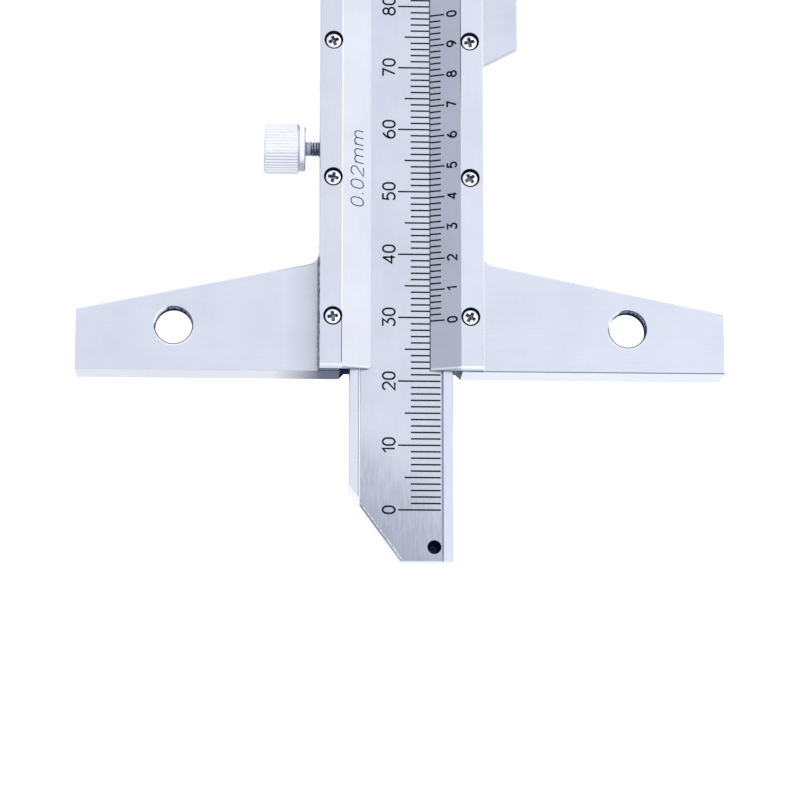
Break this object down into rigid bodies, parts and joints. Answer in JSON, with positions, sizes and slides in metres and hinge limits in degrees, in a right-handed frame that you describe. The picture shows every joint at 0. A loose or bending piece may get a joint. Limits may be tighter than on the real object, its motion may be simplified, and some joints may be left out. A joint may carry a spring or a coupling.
{
  "type": "vernier depth gauge",
  "caption": "Vernier depth gauge: a graduated beam slides through a T-shaped base with a vernier, cover plates and a knurled lock screw.",
  "frame": {"origin": "on the back face, on the beam's centre line, midway between the two base holes, with the gauge lying on its back; the measuring faces are 7 mm below it, at Y = -7 mm", "axes": "+X to the right along the base as the scale is read, +Y up the beam away from the measuring faces, +Z out of the graduated front, which is up"},
  "size_m": [0.1, 0.2181, 0.0086],
  "materials": {
    "base_steel": "fine ground stainless steel",
    "beam_steel": "satin stainless steel with a matt scale face",
    "plate_steel": "fine ground stainless steel",
    "vernier_steel": "ground flat and matt satin bevel",
    "screw_chrome": "bright nickel plate",
    "knob_chrome": "satin chrome on a straight knurl",
    "stud_steel": "plain turned steel thread",
    "gib_bronze": "rolled spring bronze",
    "pad_brass": "turned brass"
  },
  "bodies": {
    "slider": {"slider_body": "base_steel", "left_cover_plate": "plate_steel", "vernier_plate": "vernier_steel", "left_plate_screws": "screw_chrome", "vernier_plate_screws": "screw_chrome", "gib_strip": "gib_bronze", "gib_screws": "stud_steel"},
    "beam": {"beam": "beam_steel", "beam_stop_pin": "stud_steel"},
    "pad": {"clamp_pad": "pad_brass"},
    "lock": {"lock_stud": "stud_steel", "lock_knob": "knob_chrome"}
  },
  "joints": [
    {"name": "beam_slide", "type": "slide", "parent": "slider", "child": "beam", "axis": [0, -1, 0], "range_m": [-0.0294, 0.1206]},
    {"name": "lock_travel", "type": "slide", "parent": "slider", "child": "pad", "axis": [-1, 0, 0], "range_m": [0, 0.0009]},
    {"name": "lock_turn", "type": "hinge", "parent": "pad", "child": "lock", "pos_m": [-0.0127, 0.02865, 0.00461], "axis": [-1, 0, 0], "range_deg": [0, 722]}
  ],
  "couplings": [
    {"joint": "lock_turn", "follows": "lock_travel", "rad_per_m": 13963}
  ]
}
